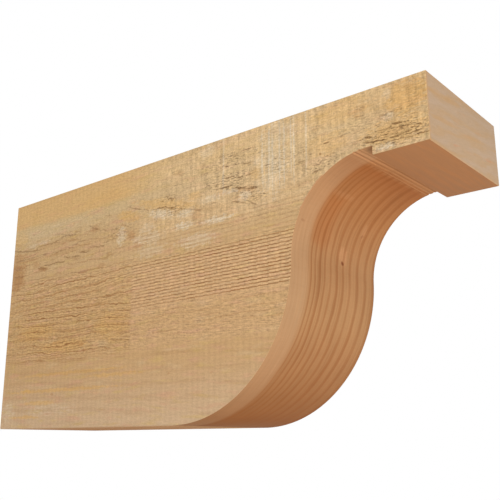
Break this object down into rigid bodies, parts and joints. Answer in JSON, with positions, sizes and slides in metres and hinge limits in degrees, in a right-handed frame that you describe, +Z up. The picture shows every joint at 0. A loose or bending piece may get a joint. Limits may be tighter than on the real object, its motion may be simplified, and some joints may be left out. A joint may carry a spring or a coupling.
{
  "type": "rafter tail",
  "caption": "Sawn timber rafter tail with a square back end, a flat top and an ogee cut that curves from the underside up to a square nose.",
  "frame": {"origin": "level with the underside, under the middle of the timber's length and width", "axes": "+X along the length from the back face to the nose, +Y across the width, +Z up to the top face"},
  "size_m": [0.6096, 0.1524, 0.2953],
  "materials": {
    "timber": "bare dry softwood, rough sawn on its sides and smooth on the curved cut"
  },
  "bodies": {
    "root": {"rafter_tail": "timber"}
  },
  "joints": []
}
